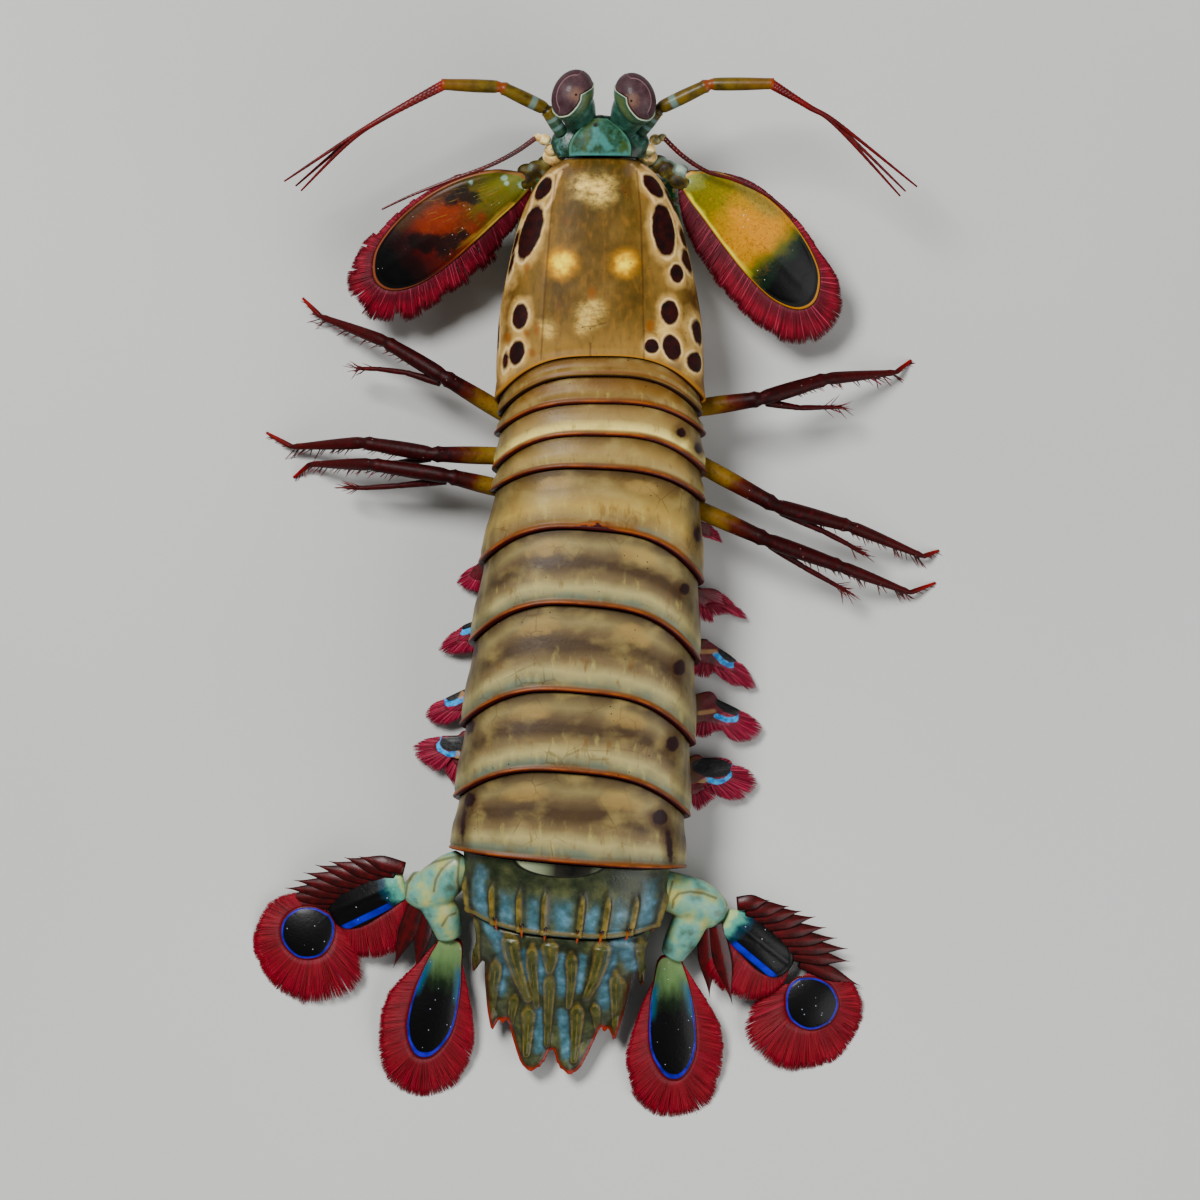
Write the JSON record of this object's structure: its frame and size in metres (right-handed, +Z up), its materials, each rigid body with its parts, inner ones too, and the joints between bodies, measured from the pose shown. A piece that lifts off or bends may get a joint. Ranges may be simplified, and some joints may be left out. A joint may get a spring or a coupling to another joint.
{
  "type": "mantis shrimp",
  "caption": "Peacock mantis shrimp at life size, standing on its walking legs with its antennal scales, swimming legs and tail fan spread, as a still museum model.",
  "frame": {"origin": "on the floor under the centre of the model's bounding box", "axes": "+Y towards the head, +Z up through the back, +X to the animal's right"},
  "size_m": [0.1046, 0.1576, 0.0245],
  "materials": {
    "body_shell": "satin olive-brown shell with orange-red rims",
    "carapace": "satin golden tan shell with dark cream-ringed spots",
    "head_shell": "satin mottled teal shell",
    "tail_shell": "satin olive and teal shell with pale blue panels",
    "tail_dark": "glossy black with blue edges",
    "eye": "glossy purple-brown",
    "limb": "glossy dark maroon",
    "limb_pale": "satin cream and ochre",
    "claw": "satin green and red shell",
    "scale": "satin amber to black leaf",
    "fringe": "soft crimson setae"
  },
  "bodies": {
    "root": {"rostral_plate": "head_shell", "head": "head_shell", "eyestalk_l": "head_shell", "eyestalk_r": "head_shell", "eye_l": "eye", "eye_r": "eye", "antennule_l": "limb", "antennule_r": "limb", "antenna_l": "limb_pale", "antenna_r": "limb_pale", "antennal_scale_l": "scale", "antennal_scale_r": "scale", "carapace": "carapace", "thorax_5": "body_shell", "thorax_6": "body_shell", "thorax_7": "body_shell", "thorax_8": "body_shell", "abdomen_1": "body_shell", "abdomen_2": "body_shell", "abdomen_3": "body_shell", "abdomen_4": "body_shell", "abdomen_5": "body_shell", "abdomen_6": "tail_shell", "telson": "tail_shell", "leg_1_l": "limb", "leg_2_l": "limb", "leg_3_l": "limb", "leg_1_r": "limb", "leg_2_r": "limb", "leg_3_r": "limb", "pleopod_1_l": "fringe", "pleopod_2_l": "fringe", "pleopod_3_l": "fringe", "pleopod_4_l": "fringe", "pleopod_5_l": "fringe", "pleopod_1_r": "fringe", "pleopod_2_r": "fringe", "pleopod_3_r": "fringe", "pleopod_4_r": "fringe", "pleopod_5_r": "fringe", "uropod_base_l": "limb_pale", "uropod_base_r": "limb_pale", "uropod_exopod_l": "tail_dark", "uropod_exopod_r": "tail_dark", "uropod_paddle_l": "fringe", "uropod_paddle_r": "fringe", "uropod_endopod_l": "fringe", "uropod_endopod_r": "fringe", "claw_merus_l": "claw", "claw_merus_r": "claw", "claw_carpus_l": "claw", "claw_carpus_r": "claw", "claw_hand_l": "claw", "claw_hand_r": "claw", "maxillipeds_l": "limb_pale", "maxillipeds_r": "limb_pale", "mouthparts": "limb_pale"}
  },
  "joints": []
}
